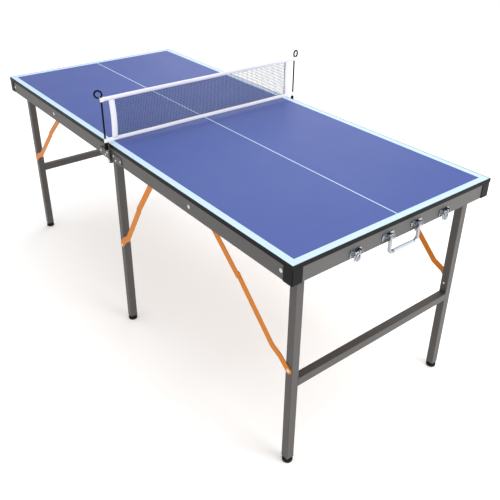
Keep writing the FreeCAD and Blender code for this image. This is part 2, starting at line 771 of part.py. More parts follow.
def latch_base(y_mid):
    """Latch base on the end rail: a screwed plate with two ears."""
    shapes = [end_plate(y_mid, LATCH_HALF_WIDTH, (LATCH_PLATE_LOW, LATCH_PLATE_HIGH))]
    ear_in = LEVER_HALF_WIDTH + LEVER_GAP
    for side in (-1, 1):
        y_range = sorted((y_mid + side * ear_in, y_mid + side * (ear_in + LATCH_EAR_THICK)))
        shapes.append(cheek(LATCH_PIVOT_X, LATCH_PIVOT_Z, LATCH_EAR_RADIUS, y_range))
        shapes.append(end_screw(y_mid + side * LATCH_SCREW_REACH, LATCH_SCREW_Z, LATCH_SCREW_RADIUS))
    bore_range = (y_mid - LATCH_HALF_WIDTH, y_mid + LATCH_HALF_WIDTH)
    return joined(shapes).cut(pin(LATCH_PIVOT_X, LATCH_PIVOT_Z, LEVER_PIN + RUNNING_GAP, bore_range))


def latch_lever(y_mid):
    """Latch lever with its pin, hub, plate and turned-out tail."""
    y_range = (y_mid - LEVER_HALF_WIDTH, y_mid + LEVER_HALF_WIDTH)
    pin_range = (y_range[0] - LEVER_PIN_END, y_range[1] + LEVER_PIN_END)
    x_low = LATCH_PIVOT_X - LEVER_THICK / 2
    tail = LATCH_PIVOT_Z - LEVER_REACH
    hub = pin(LATCH_PIVOT_X, LATCH_PIVOT_Z, LEVER_HUB_RADIUS, y_range)
    plate = box((x_low, x_low + LEVER_THICK), y_range, (tail, LATCH_PIVOT_Z))
    lip = box((x_low, x_low + LEVER_LIP), y_range, (tail - LEVER_THICK, tail))
    return joined([hub, plate, lip, pin(LATCH_PIVOT_X, LATCH_PIVOT_Z, LEVER_PIN, pin_range)])


def latch_keeper(y_mid):
    """Keeper on half B for a latch: a plate with a turned-up hook."""
    hook_range = (y_mid - KEEPER_HOOK_HALF_WIDTH, y_mid + KEEPER_HOOK_HALF_WIDTH)
    front = RAIL_END + KEEPER_REACH
    plate = end_plate(y_mid, KEEPER_HALF_WIDTH, KEEPER_PLATE)
    shelf = box((RAIL_END + RAIL_WALL, front), hook_range, KEEPER_SHELF)
    hook = box((front - KEEPER_HOOK_THICK, front), hook_range, KEEPER_HOOK)
    return joined([plate, shelf, hook])


def centre_stand_nodes():
    """The fixed middle of the table."""
    leg = centre_leg()
    rivet = brace_rivet(
        0, -CENTRE_BRACE_DROP, CENTRE_LOWER_INSET, CENTRE_LEG_INSET + TUBE_WALL
    )
    return {
        "centre_leg_near": leg,
        "centre_leg_far": far(leg),
        "centre_feet": group(both_sides(foot(0, CENTRE_LEG_INSET))),
        "centre_brace_rivets": group(both_sides(rivet)),
        "hinge_rod": hinge_rod(),
        "socket_straps": group(both_sides(socket_strap())),
        "net_sockets": group(both_sides(net_socket())),
    }


def half_nodes():
    """What both halves share, drawn for half A."""
    rail = side_rail()
    return {
        "board": board(),
        "edge_band": edge_band(),
        "side_rail_near": rail,
        "side_rail_far": far(rail),
        "end_rail": end_rail(),
        "inner_rail": inner_rail(),
        "corner_caps": group(both_sides(corner_cap())),
        "leg_brackets": group(both_sides(leg_bracket())),
        "leg_bolts": group(both_sides(leg_bolt())),
        "brace_bolts": group(both_sides(brace_bolt())),
    }


def end_leg_nodes():
    """The end leg frame of half A and its braces."""
    leg = end_leg()
    upper, lower = end_brace()
    rivet = brace_rivet(
        LEG_PIVOT_X,
        LEG_PIVOT_Z - END_BRACE_DROP,
        END_LOWER_INSET,
        END_LEG_INSET + TUBE + RIVET_END,
    )
    return {
        "end_leg_near": leg,
        "end_leg_far": far(leg),
        "crossbar": crossbar(),
        "end_feet": group(both_sides(foot(LEG_PIVOT_X, END_LEG_INSET))),
        "brace_rivets": group(both_sides(rivet)),
        "upper_braces": group(both_sides(upper)),
        "lower_braces": group(both_sides(lower)),
    }


def net_nodes():
    """The lift-off net."""
    bottom = TOP + NET_GAP
    return {
        "net_post_near": net_post(POST_Y, NEAR_EYE_ANGLE),
        "net_post_far": net_post(-POST_Y, FAR_EYE_ANGLE),
        "net_mesh": net_mesh(),
        "net_top_tape": level_tape(bottom + NET_HEIGHT - TAPE_HEIGHT),
        "net_bottom_tape": level_tape(bottom),
        "net_side_tapes": group(both_sides(side_tape())),
    }


def end_fitting_nodes():
    """Handle, latches and keepers on the two outer ends."""
    bases = [latch_base(y) for y in (-LATCH_Y, LATCH_Y)]
    keepers = [half_b(latch_keeper(y)) for y in (-LATCH_Y, LATCH_Y)]
    return {
        "handle_bail": handle_bail(),
        "handle_grip": handle_grip(),
        "handle_mounts": group(both_sides(handle_mount())),
        "latch_bases": group(bases),
        "latch_lever_near": latch_lever(-LATCH_Y),
        "latch_lever_far": latch_lever(LATCH_Y),
        "latch_keepers": group(keepers),
    }


def all_nodes():
    """Every node of the table by name, in the hinge frame."""
    brace_x = centre_brace_pivot()
    nodes = dict(centre_stand_nodes())
    shared = {**half_nodes(), **end_leg_nodes()}
    for name, shape in shared.items():
        nodes[name + "_a"] = shape
        nodes[name + "_b"] = half_b(shape)
    nodes["hinge_leaves_a"] = group(both_sides(hinge_leaf_a()))
    nodes["hinge_leaves_b"] = half_b(group(both_sides(hinge_leaf_b())))
    upper, lower = centre_brace(brace_x)
    nodes["centre_brace_pins"] = group(both_sides(centre_brace_pin(brace_x)))
    nodes["centre_upper_braces"] = group(both_sides(upper))
    nodes["centre_lower_braces"] = group(both_sides(lower))
    nodes.update(net_nodes())
    nodes.update(end_fitting_nodes())
    return nodes


def main():
    os.makedirs("parts", exist_ok=True)
    for name, shape in all_nodes().items():
        placed(shape).exportStep(os.path.join("parts", name + ".step"))


main()
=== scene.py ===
"""Looks of the folding table tennis table: materials, net, tapes, grip, latch levers, light and camera."""

import json
import math
import random

import bpy
import numpy as np
from mathutils import Matrix, Vector


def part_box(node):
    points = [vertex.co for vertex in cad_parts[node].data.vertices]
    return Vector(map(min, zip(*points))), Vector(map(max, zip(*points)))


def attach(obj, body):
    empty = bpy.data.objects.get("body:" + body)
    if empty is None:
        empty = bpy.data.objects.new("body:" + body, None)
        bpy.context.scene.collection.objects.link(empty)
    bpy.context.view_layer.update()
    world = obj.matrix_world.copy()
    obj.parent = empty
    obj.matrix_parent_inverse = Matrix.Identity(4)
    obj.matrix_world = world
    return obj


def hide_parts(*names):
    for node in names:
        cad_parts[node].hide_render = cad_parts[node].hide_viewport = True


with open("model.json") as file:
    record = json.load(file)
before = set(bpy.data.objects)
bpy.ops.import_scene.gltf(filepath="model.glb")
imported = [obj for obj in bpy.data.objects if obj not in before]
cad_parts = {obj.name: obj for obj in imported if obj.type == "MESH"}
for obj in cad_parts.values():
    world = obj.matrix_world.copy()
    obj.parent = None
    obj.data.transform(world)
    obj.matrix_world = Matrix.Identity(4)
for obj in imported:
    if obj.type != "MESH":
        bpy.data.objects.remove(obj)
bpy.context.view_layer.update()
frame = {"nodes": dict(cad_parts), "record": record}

# Camera: place in metres, angles in degrees, lens and sensor in millimetres, shift as a share of the width
CAMERA_PLACE = (1.5227, -1.0428, 1.3047)
CAMERA_AZIMUTH = 51.52
CAMERA_ELEVATION = 28.9
CAMERA_ROLL = 0.77
CAMERA_LENS = 46.2096
CAMERA_SHIFT = -0.076
SENSOR = 36.0

# Painted boards, in metres. The corner holds half the length, half the width and the height of the top.
BOARD_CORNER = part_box("edge_band_a")[1]
BORDER = 0.0205
CENTRE_LINE = 0.0030
PAINT_DEPTH = 0.0005

# Net of crossing cords
CORD_PITCH = 0.0050
CORD_RADIUS = 0.00054
CORD_SIDES = 6
CORD_CROSSING = 0.75  # how far a cord steps aside at a crossing, as a share of its radius
KNOT_SHIFT = 0.00018
KNOT_SEED = 7
NET_TUCK = 0.0025  # how far the cords reach into the tapes
NET_BOW = 0.0008
NET_BOW_RATE = 9.0

# Tapes, folded over the net's edges. A wave is its height and its radians per metre.
TAPE_WALL = 0.0005
TAPE_GAP = 0.0011
TAPE_SAMPLES = 261  # per metre
FOLD_STEPS = 6
TAPE_EDGE = 0.0004  # from the CAD tape's outer edge to the fold
TAPE_TRIM = 0.0012
TAPE_END_GAP = 0.0105
SIDE_TUCK = 0.0040
SIDE_BOW = 0.0025
PHASE_LIMIT = 6.28
TAPE_WAVE = (0.00022, 38)
TAPE_RIPPLE = (0.00012, 101)
TAPE_LIFT = (0.00035, 17)

# Sewn loops round the net posts
SLEEVE_RADIUS = 0.0042
LOOP_OUTER = 0.0036
LOOP_INNER = 0.0027
LOOP_SIDES = 28
LOOP_STEPS = 7
LOOP_WAVE = 0.0002
LOOP_WAVE_STEP = 2.1
LOOP_POINT = 0.0055
LOOP_NARROWING = 0.35

# Sleeve on the handle's bar
GRIP_BORE = 0.00445
GRIP_CLEARANCE = 0.0001
GRIP_CROWN = 0.0005
GRIP_LIP = 0.000175
GRIP_LIP_START = 0.93
GRIP_STEPS = 24
GRIP_SIDES = 36

# A tube this much along X takes its sides from Y
NEARLY_ALONG = 0.9

# Latch levers: the pressed plate, its pin and hubs, and the wire loop
SHEET = 0.0011
PLATE_STEPS = 22
SECTION_STEPS = 12
PLATE_RISE = 0.0012
PLATE_BACK = 0.0006
PLATE_TAPER = 0.22
PLATE_CROWN = 0.0022
CROWN_START = 0.15
EDGE_START = 0.72
EDGE_TURN = 1.6
TAIL_START = 0.80
TAIL_TURN = 0.0026
PIN_END = 0.0028
PIN_RADIUS = 0.0014
PIN_SIDES = 16
HUB_RADIUS = 0.0031
HUB_SIDES = 20
WIRE_RADIUS = 0.0012
WIRE_SIDES = 10
WIRE_POINTS = 40
WIRE_SQUARENESS = 0.62
WIRE_WIDTH = 0.62  # as a share of the plate's
WIRE_OUT = 0.0030
WIRE_TOP = 0.0042
WIRE_BOTTOM = 0.0048

# Rivet heads on the hinge leaves: distance from the hinge line, height above it
LEAF_RIVETS = ((0.016, 0.018), (0.027, 0.008), (0.054, 0.013))
RIVET_RADIUS = 0.0033
FAR_AWAY = 1.0  # farther than any rivet

# Colours, as linear values
BLUE = (0.048, 0.080, 0.285)
LINE_WHITE = (0.47, 0.61, 0.76)
FIBREBOARD = (0.30, 0.19, 0.11)
RAIL_GREY = (0.088, 0.085, 0.083)
LEG_GREY = (0.078, 0.073, 0.070)
ORANGE = (0.58, 0.175, 0.001)
BLACK = (0.003, 0.003, 0.0035)
DUST = (0.10, 0.095, 0.09)
TAPE_WHITE = (0.80, 0.80, 0.84)
CORD_BLUE = (0.022, 0.034, 0.070)
GRIP_WHITE = (0.40, 0.46, 0.52)
RIVET_METAL = (0.75, 0.70, 0.58)
ZINC = (0.66, 0.64, 0.58)
BRACKET_METAL = (0.36, 0.35, 0.34)
CHROME = (0.36, 0.38, 0.41)
PAPER_DARK = (0.93, 0.93, 0.93)
PAPER_LIGHT = (0.96, 0.96, 0.96)
WHITE = (1.0, 1.0, 1.0)

# Surroundings and surfaces
NOISE_ROUGHNESS = 0.55
WORLD_STRENGTH = 0.95
PAPER_GLOW = 0.10
FLOOR_REACH = 14.0
DUST_HEIGHT = 0.0035

# The material of each CAD node, by how the node's name starts. The longest match counts.
NODE_LOOKS = {
    "board": "board",
    "edge_band": "band",
    "side_rail": "rail_x",
    "end_rail": "rail_y",
    "inner_rail": "rail_y",
    "corner_caps": "cap",
    "leg_brackets": "bracket",
    "leg_bolts": "zinc",
    "brace_bolts": "zinc",
    "brace_rivets": "zinc",
    "centre_brace_rivets": "zinc",
    "centre_brace_pins": "zinc",
    "hinge_leaves": "leaf",
    "hinge_rod": "zinc",
    "end_leg": "leg",
    "centre_leg": "leg",
    "crossbar": "leg",
    "end_feet": "foot",
    "centre_feet": "foot",
    "upper_braces": "brace",
    "lower_braces": "brace",
    "centre_upper_braces": "brace",
    "centre_lower_braces": "brace",
    "socket_straps": "leg",
    "net_sockets": "socket",
    "net_post": "wire",
    "handle_bail": "chrome",
    "handle_mounts": "chrome",
    "latch_bases": "chrome",
    "latch_keepers": "chrome",
}


def joint_place(body):
    """Where the joint that moves a body is."""
    joints = frame["record"]["behaviour"]["joints"]
    return next(joint["pos_m"] for joint in joints if joint["child"] == body)


# Materials


class Nodes:
    """A new material's node tree, with short ways to add and link nodes."""

    def __init__(self, name):
        self.material = bpy.data.materials.new(name)
        self.material.use_nodes = True
        self.tree = self.material.node_tree
        self.shader = self.tree.nodes["Principled BSDF"]
        self.place = self.add("ShaderNodeTexCoord").outputs["Object"]

    def add(self, kind, **settings):
        """A new node, with its settings."""
        node = self.tree.nodes.new(kind)
        for key, value in settings.items():
            setattr(node, key, value)
        return node

    def put(self, value, socket):
        """Links an output, or sets a plain value. A plain colour gets full opacity."""
        if isinstance(value, bpy.types.NodeSocket):
            self.tree.links.new(value, socket)
        elif socket.type == "RGBA":
            socket.default_value = (*value, 1.0)
        else:
            socket.default_value = value

    def math(self, operation, first, second=0.0):
        """The result of one sum on numbers or outputs."""
        node = self.add("ShaderNodeMath", operation=operation)
        self.put(first, node.inputs[0])
        self.put(second, node.inputs[1])
        return node.outputs[0]

    def split_place(self):
        """The X, Y and Z of the object's own space."""
        node = self.add("ShaderNodeSeparateXYZ")
        self.put(self.place, node.inputs[0])
        return node.outputs["X"], node.outputs["Y"], node.outputs["Z"]

    def noise(self, scale, detail=3.0, stretch=(1, 1, 1)):
        """Noise from 0 to 1. A small factor in stretch draws it out along that axis."""
        mapping = self.add("ShaderNodeMapping")
        self.put(self.place, mapping.inputs["Vector"])
        self.put(stretch, mapping.inputs["Scale"])
        node = self.add("ShaderNodeTexNoise")
        self.put(mapping.outputs[0], node.inputs["Vector"])
        self.put(scale, node.inputs["Scale"])
        self.put(detail, node.inputs["Detail"])
        self.put(NOISE_ROUGHNESS, node.inputs["Roughness"])
        return node.outputs["Fac"]

    def bands(self, axis, scale):
        """Even threads, side by side along one axis."""
        node = self.add("ShaderNodeTexWave", wave_type="BANDS", bands_direction=axis)
        self.put(self.place, node.inputs["Vector"])
        self.put(scale, node.inputs["Scale"])
        return node.outputs["Fac"]

    def between(self, factor, low, high):
        """A number that goes from low to high as the factor goes from 0 to 1."""
        node = self.add("ShaderNodeMapRange")
        self.put(factor, node.inputs["Value"])
        self.put(low, node.inputs["To Min"])
        self.put(high, node.inputs["To Max"])
        return node.outputs[0]

    def mix(self, factor, first, second):
        """A colour between two colours."""
        node = self.add("ShaderNodeMix", data_type="RGBA")
        self.put(factor, node.inputs["Factor"])
        self.put(first, node.inputs["A"])
        self.put(second, node.inputs["B"])
        return node.outputs["Result"]

    def shade(self, colour, dark, light, amount):
        """The colour, from darker to lighter by two factors."""
        return self.mix(amount, [c * dark for c in colour], [min(1.0, c * light) for c in colour])

    def bump(self, height, distance, strength, below=None):
        """Relief from a height, on top of another relief if one is given."""
        node = self.add("ShaderNodeBump")
        self.put(height, node.inputs["Height"])
        self.put(distance, node.inputs["Distance"])
        self.put(strength, node.inputs["Strength"])
        if below is not None:
            self.put(below, node.inputs["Normal"])
        return node.outputs[0]

    def finish(self, colour, roughness, normal, **others):
        """Connects the shader, and any of its other sockets by name."""
        self.put(colour, self.shader.inputs["Base Color"])
        self.put(roughness, self.shader.inputs["Roughness"])
        self.put(normal, self.shader.inputs["Normal"])
        for name, value in others.items():
            self.put(value, self.shader.inputs[name.replace("_", " ")])
        return self.material


def board_paint():
    """Blue satin paint with white border and centre lines, over fibreboard."""
    n = Nodes("board_paint")
    x, y, z = n.split_place()
    x = n.math("ABSOLUTE", x)
    y = n.math("ABSOLUTE", y)
    end_line = n.math("GREATER_THAN", x, BOARD_CORNER.x - BORDER)
    side_line = n.math("GREATER_THAN", y, BOARD_CORNER.y - BORDER)
    centre_line = n.math("LESS_THAN", y, CENTRE_LINE / 2)
    line = n.math("MAXIMUM", n.math("MAXIMUM", end_line, side_line), centre_line)
    blue = n.shade(BLUE, 0.94, 1.07, n.noise(2.2, 2.0))
    white = n.shade(LINE_WHITE, 0.97, 1.03, n.noise(30.0, 4.0))
    fibres = n.shade(FIBREBOARD, 0.75, 1.25, n.noise(900.0, 2.0))
    on_top = n.math("GREATER_THAN", z, BOARD_CORNER.z - PAINT_DEPTH)
    colour = n.mix(on_top, fibres, n.mix(line, blue, white))
    grain = n.bump(n.noise(420.0), 0.00006, 0.5)
    relief = n.bump(line, 0.00006, 0.6, grain)
    gloss = n.between(n.noise(14.0), 0.40, 0.50)
    return n.finish(colour, gloss, relief, Specular_IOR_Level=0.16)


def moulded_plastic(name, colour, low, high, scale=700.0):
    """Finely textured moulded plastic with faint scuffs. Low and high are its roughness."""
    n = Nodes(name)
    scuff = n.noise(60.0, 6.0)
    shade = n.shade(colour, 0.85, 1.35, scuff)
    relief = n.bump(n.noise(scale, 2.0), 0.00015, 0.6)
    return n.finish(shade, n.between(scuff, low, high), relief, Specular_IOR_Level=0.10)


def drawn_rail(name, stretch):
    """Satin grey rail with fine drawing lines along its length."""
    n = Nodes(name)
    streak = n.noise(900.0, 4.0, stretch)
    dark = n.shade(RAIL_GREY, 0.86, 1.10, streak)
    light = n.shade(RAIL_GREY, 0.95, 1.20, streak)
    colour = n.mix(n.noise(9.0), dark, light)
    relief = n.bump(streak, 0.00010, 0.5)
    return n.finish(colour, n.between(streak, 0.38, 0.54), relief, Metallic=0.2, Specular_IOR_Level=0.25)


def hinge_leaf_paint():
    """The rails' grey paint, with bright rivet heads."""
    n = Nodes("hinge_leaf")
    x, _, z = n.split_place()
    x = n.math("ABSOLUTE", x)
    z = n.math("SUBTRACT", z, joint_place("half_a")[2])

    def offset_squared(value, centre):
        return n.math("POWER", n.math("ABSOLUTE", n.math("SUBTRACT", value, centre)), 2.0)

    nearest = FAR_AWAY
    for rivet_x, rivet_z in LEAF_RIVETS:
        squares = n.math("ADD", offset_squared(x, rivet_x), offset_squared(z, rivet_z))
        nearest = n.math("MINIMUM", nearest, n.math("SQRT", squares))
    rivet = n.math("LESS_THAN", nearest, RIVET_RADIUS)
    mark = n.noise(60.0, 4.0)
    paint = n.shade(RAIL_GREY, 0.88, 1.12, mark)
    colour = n.mix(rivet, paint, n.shade(RIVET_METAL, 0.8, 1.1, mark))
    relief = n.bump(n.noise(900.0, 2.0), 0.00008, 0.4)
    gloss = n.between(rivet, 0.46, 0.22)
    return n.finish(colour, gloss, relief, Metallic=rivet, Specular_IOR_Level=0.25)


def powder_coat(name, colour, rough, metallic=0.0):
    """Powder coat: a fine orange-peel surface with faint handling marks."""
    n = Nodes(name)
    mark = n.noise(28.0, 5.0)
    peel = n.bump(n.noise(1100.0, 2.0), 0.00008, 0.5)
    relief = n.bump(n.noise(230.0, 2.0), 0.00012, 0.35, peel)
    shade = n.shade(colour, 0.90, 1.12, mark)
    gloss = n.between(mark, rough - 0.06, rough + 0.07)
    return n.finish(shade, gloss, relief, Metallic=metallic, Specular_IOR_Level=0.22)


def plated_steel(name, colour, low, high, scale=80.0):
    """Bright plating with cloudy gloss and fine polishing lines. Low and high are its roughness."""
    n = Nodes(name)
    cloud = n.noise(scale, 4.0)
    polish = n.bump(n.noise(1500.0, 2.0, (1, 0.15, 1)), 0.00004, 0.35)
    return n.finish(n.shade(colour, 0.86, 1.06, cloud), n.between(cloud, low, high), polish, Metallic=1.0)


def rubber_foot():
    """Black moulded foot, dusty low down where it meets the floor."""
    n = Nodes("foot_rubber")
    z = n.split_place()[2]
    grain = n.noise(500.0)
    dust = n.math("MULTIPLY", n.math("LESS_THAN", z, DUST_HEIGHT), n.noise(90.0, 4.0))
    relief = n.bump(grain, 0.0002, 0.5)
    return n.finish(n.mix(dust, BLACK, DUST), n.between(grain, 0.5, 0.68), relief, Specular_IOR_Level=0.2)


def woven_tape():
    """White woven tape: fine crossing threads, a little soiled."""
    n = Nodes("woven_tape")
    thread = n.math("MULTIPLY", n.bands("Y", 420.0), n.bands("Z", 520.0))
    soil = n.noise(22.0, 5.0)
    colour = n.mix(thread, n.shade(TAPE_WHITE, 0.80, 0.92, soil), n.shade(TAPE_WHITE, 0.97, 1.08, soil))
    relief = n.bump(thread, 0.00022, 0.7, n.bump(soil, 0.0006, 0.4))
    return n.finish(colour, 0.85, relief, Sheen_Weight=0.25, Sheen_Roughness=0.5)


def net_cord():
    """Dark blue twisted thread."""
    n = Nodes("net_cord")
    fibre = n.noise(2600.0, 2.0)
    dye = n.noise(40.0)
    colour = n.mix(fibre, n.shade(CORD_BLUE, 0.7, 1.0, dye), n.shade(CORD_BLUE, 1.2, 1.9, dye))
    return n.finish(colour, 0.75, n.bump(fibre, 0.0002, 0.6), Sheen_Weight=0.2)


def clear_grip():
    """Milky plastic sleeve with flow lines along it."""
    n = Nodes("grip_plastic")
    flow = n.noise(260.0, 3.0, (1, 0.08, 1))
    colour = n.shade(GRIP_WHITE, 0.90, 1.06, flow)
    return n.finish(colour, n.between(flow, 0.16, 0.30), n.bump(flow, 0.00008, 0.4), Coat_Weight=0.4)


def floor_paper():
    """Pale paper that glows a little, so that it stays near white."""
    n = Nodes("floor_paper")
    white = n.mix(n.noise(1.3, 2.0), PAPER_DARK, PAPER_LIGHT)
    relief = n.bump(n.noise(160.0), 0.0003, 0.2)
    return n.finish(white, 0.85, relief, Emission_Strength=PAPER_GLOW, Emission_Color=WHITE)


def make_materials():
    """Every material of the table, by the name used below."""
    return {
        "board": board_paint(),
        "band": moulded_plastic("edge_band", BLACK, 0.38, 0.55),
        "cap": moulded_plastic("corner_cap", BLACK, 0.34, 0.50),
        "rail_x": drawn_rail("rail_along", (0.02, 1, 1)),
        "rail_y": drawn_rail("rail_across", (1, 0.02, 1)),
        "leaf": hinge_leaf_paint(),
        "leg": powder_coat("leg_coat", LEG_GREY, 0.38, 0.25),
        "brace": powder_coat("brace_coat", ORANGE, 0.42),
        "foot": rubber_foot(),
        "zinc": plated_steel("zinc_steel", ZINC, 0.24, 0.42),
        "bracket": plated_steel("bracket_steel", BRACKET_METAL, 0.30, 0.48),
        "chrome": plated_steel("chrome_plate", CHROME, 0.07, 0.16, 40.0),
        "wire": moulded_plastic("coated_wire", BLACK, 0.30, 0.45, 1200.0),
        "socket": moulded_plastic("net_socket", BLACK, 0.40, 0.55),
        "tape": woven_tape(),
        "cord": net_cord(),
        "grip": clear_grip(),
    }


def dress_nodes(materials):
    """Gives each CAD node its look. Nodes that the pieces below replace have none."""
    for name, piece in frame["nodes"].items():
        looks = [key for key in NODE_LOOKS if name.startswith(key)]
        if not looks:
            continue
        material = materials[NODE_LOOKS[max(looks, key=len)]]
        if not piece.material_slots:
            piece.data.materials.append(material)
        for slot in piece.material_slots:
            slot.material = material


# Mesh pieces


def mesh_piece(name, points, faces, material, smooth=True):
    """A new object from points and faces."""
    mesh = bpy.data.meshes.new(name)
    mesh.from_pydata([tuple(p) for p in points], [], faces)
    mesh.validate()
    mesh.materials.append(material)
    if smooth:
        mesh.polygons.foreach_set("use_smooth", [True] * len(mesh.polygons))
    piece = bpy.data.objects.new(name, mesh)
    bpy.context.scene.collection.objects.link(piece)
    return piece


class Builder:
    """Collects points and faces of several tubes and bands for one piece."""

    def __init__(self):
        self.points = []
        self.faces = []

    def rings(self, rings, closed_loop=False):
        """Skins rings of points that all have the same count, with a cap at each end unless they close up."""
        first = len(self.points)
        count = len(rings[0])
        for ring in rings:
            self.points.extend(ring)
        spans = len(rings) if closed_loop else len(rings) - 1
        for i in range(spans):
            low = first + i * count
            high = first + (i + 1) % len(rings) * count
            for j in range(count):
                k = (j + 1) % count
                self.faces.append((low + j, low + k, high + k, high + j))
        if not closed_loop:
            last = first + (len(rings) - 1) * count
            self.faces.append(tuple(first + j for j in reversed(range(count))))
            self.faces.append(tuple(last + j for j in range(count)))

    def tube(self, path, radius, sides, closed_loop=False):
        """A round tube along a path of points."""
        path = [Vector(p) for p in path]
        angles = [2 * math.pi * k / sides for k in range(sides)]
        rings = []
        for i, point in enumerate(path):
            before = path[i - 1] if i or closed_loop else point
            after = path[(i + 1) % len(path)] if i + 1 < len(path) or closed_loop else point
            along = (after - before).normalized()
            helper = Vector((1, 0, 0)) if abs(along.x) < NEARLY_ALONG else Vector((0, 1, 0))
            side = along.cross(helper).normalized()
            up = along.cross(side)
            rings.append([point + radius * (math.cos(a) * side + math.sin(a) * up) for a in angles])
        self.rings(rings, closed_loop)

    def piece(self, name, material):
        """The finished object."""
        return mesh_piece(name, self.points, self.faces, material)


def net_sag(y, z, low, high, half):
    """How far the net bows out of its plane between its tapes."""
    across = math.cos(math.pi * y / (2 * half))
    upright = math.sin(math.pi * (z - low) / (high - low))
    return NET_BOW * across * upright * math.sin(NET_BOW_RATE * y)


def make_net(material):
    """Crossing cords that pass over and under each other, in place of the plain net slab."""
    low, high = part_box("net_mesh")
    half = high.y + NET_TUCK
    bottom = low.z - NET_TUCK
    top = high.z + NET_TUCK
    columns = round(2 * half / CORD_PITCH)
    rows = round((top - bottom) / CORD_PITCH)
    ys = np.linspace(-half, half, columns + 1)
    zs = np.linspace(bottom, top, rows + 1)
    shifts = np.random.default_rng(KNOT_SEED).normal(0.0, KNOT_SHIFT, (columns + 1, rows + 1, 2))
    net = Builder()

    def knot(i, j, side):
        """Where an upright or level cord passes the knot, on its own side of the other cord."""
        y = ys[i] + shifts[i, j, 0]
        z = zs[j] + shifts[i, j, 1]
        over = side * (1 if (i + j) % 2 else -1) * CORD_RADIUS * CORD_CROSSING
        return (over + net_sag(y, z, bottom, top, half), y, z)

    for i in range(1, columns):
        net.tube([knot(i, j, 1) for j in range(rows + 1)], CORD_RADIUS, CORD_SIDES)
    for j in range(1, rows):
        net.tube([knot(i, j, -1) for i in range(columns + 1)], CORD_RADIUS, CORD_SIDES)
    piece = net.piece("net_cords", material)
    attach(piece, "net")
    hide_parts("net_mesh")


def fold_profile(depth):
    """Outline of a strip folded in half: (out, down) points round both faces of the cloth."""
    outer = []
    inner = []
    for radius, points in ((TAPE_GAP + TAPE_WALL, outer), (TAPE_GAP, inner)):
        points.append((-radius, depth))
        points.append((-radius, depth * 0.5))
        for k in range(FOLD_STEPS + 1):
            angle = math.pi * (1 - k / FOLD_STEPS)
            points.append((radius * math.cos(angle), TAPE_GAP + TAPE_WALL - radius * math.sin(angle)))
        points.append((radius, depth * 0.5))
        points.append((radius, depth))
    return outer + inner[::-1]


def folded_tape(name, start, end, depth_axis, depth, material, seed, bow=0.0):
    """A strip of cloth folded over an edge line, with small waves, and a slight bow if asked."""
    rng = random.Random(seed)
    phases = [rng.uniform(0, PHASE_LIMIT) for _ in range(3)]
    start, end, depth_axis = Vector(start), Vector(end), Vector(depth_axis)
    length = (end - start).length
    out_axis = Vector((1, 0, 0))
    profile = fold_profile(depth)
    samples = round(TAPE_SAMPLES * length)
    rings = []
    for i in range(samples + 1):
        share = i / samples
        wave, ripple, lift = (
            height * math.sin(rate * share * length + phase)
            for (height, rate), phase in zip((TAPE_WAVE, TAPE_RIPPLE, TAPE_LIFT), phases)
        )
        inward = (lift + bow) * math.sin(math.pi * share)
        centre = start.lerp(end, share) + depth_axis * inward
        rings.append([centre + out_axis * (out + wave + ripple) + depth_axis * down for out, down in profile])
    tape = Builder()
    tape.rings(rings)
    return tape.piece(name, material)


def make_tapes(material):
    """Folded tapes round the net and their loops on the posts, in place of the plain tapes."""
    top_low, top_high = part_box("net_top_tape")
    bottom_low, bottom_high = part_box("net_bottom_tape")
    side_low, side_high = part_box("net_side_tapes")
    mesh_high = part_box("net_mesh")[1]
    reach = top_high.y - TAPE_END_GAP
    depth = top_high.z - top_low.z
    for name, edge, inward, seed in (("top_tape", top_high.z, -1, 3), ("bottom_tape", bottom_low.z, 1, 4)):
        z = edge + inward * TAPE_EDGE
        ends = (0, -reach, z), (0, reach, z)
        tape = folded_tape(name, *ends, (0, 0, inward), depth - TAPE_TRIM, material, seed)
        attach(tape, "net")
        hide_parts("net_" + name)
    width = side_high.y - mesh_high.y
    low, high = side_low.z - SIDE_TUCK, side_high.z + SIDE_TUCK
    for name, sign, seed in (("side_tape_near", -1, 4), ("side_tape_far", 1, 6)):
        ends = (0, sign * side_high.y, low), (0, sign * side_high.y, high)
        strip = folded_tape(name, *ends, (0, -sign, 0), width, material, seed, SIDE_BOW)
        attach(strip, "net")
    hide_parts("net_side_tapes")
    levels = (top_low.z, top_high.z), (bottom_low.z, bottom_high.z)
    make_tape_loops(top_high.y - SLEEVE_RADIUS, levels, material)


def loop_ring(post_y, sign, z, radius, drawn):
    """One round of a loop. Drawn is 1 for an outline that comes to a point towards the net, 0 for a circle."""
    ring = []
    for a in range(LOOP_SIDES):
        angle = 2 * math.pi * a / LOOP_SIDES
        facing = max(0.0, math.cos(angle))
        reach = radius + drawn * LOOP_POINT * facing**6
        x = reach * math.sin(angle) * (1 - drawn * LOOP_NARROWING * facing**2)
        ring.append(Vector((x, sign * (post_y - reach * math.cos(angle)), z)))
    return ring


def make_tape_loops(post_y, levels, material):
    """The sewn loops at the tapes' ends, round the posts: up the outside, then down the inside."""
    loops = Builder()
    upward = range(LOOP_STEPS + 1)
    for sign in (-1, 1):
        for low, high in levels:
            rings = []
            for base, drawn, order in ((LOOP_OUTER, 1, upward), (LOOP_INNER, 0, upward[::-1])):
                for k in order:
                    z = low + (high - low) * k / LOOP_STEPS
                    radius = base + LOOP_WAVE * math.sin(LOOP_WAVE_STEP * k)
                    rings.append(loop_ring(post_y, sign, z, radius, drawn))
            loops.rings(rings, closed_loop=True)
    piece = loops.piece("tape_loops", material)
    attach(piece, "net")


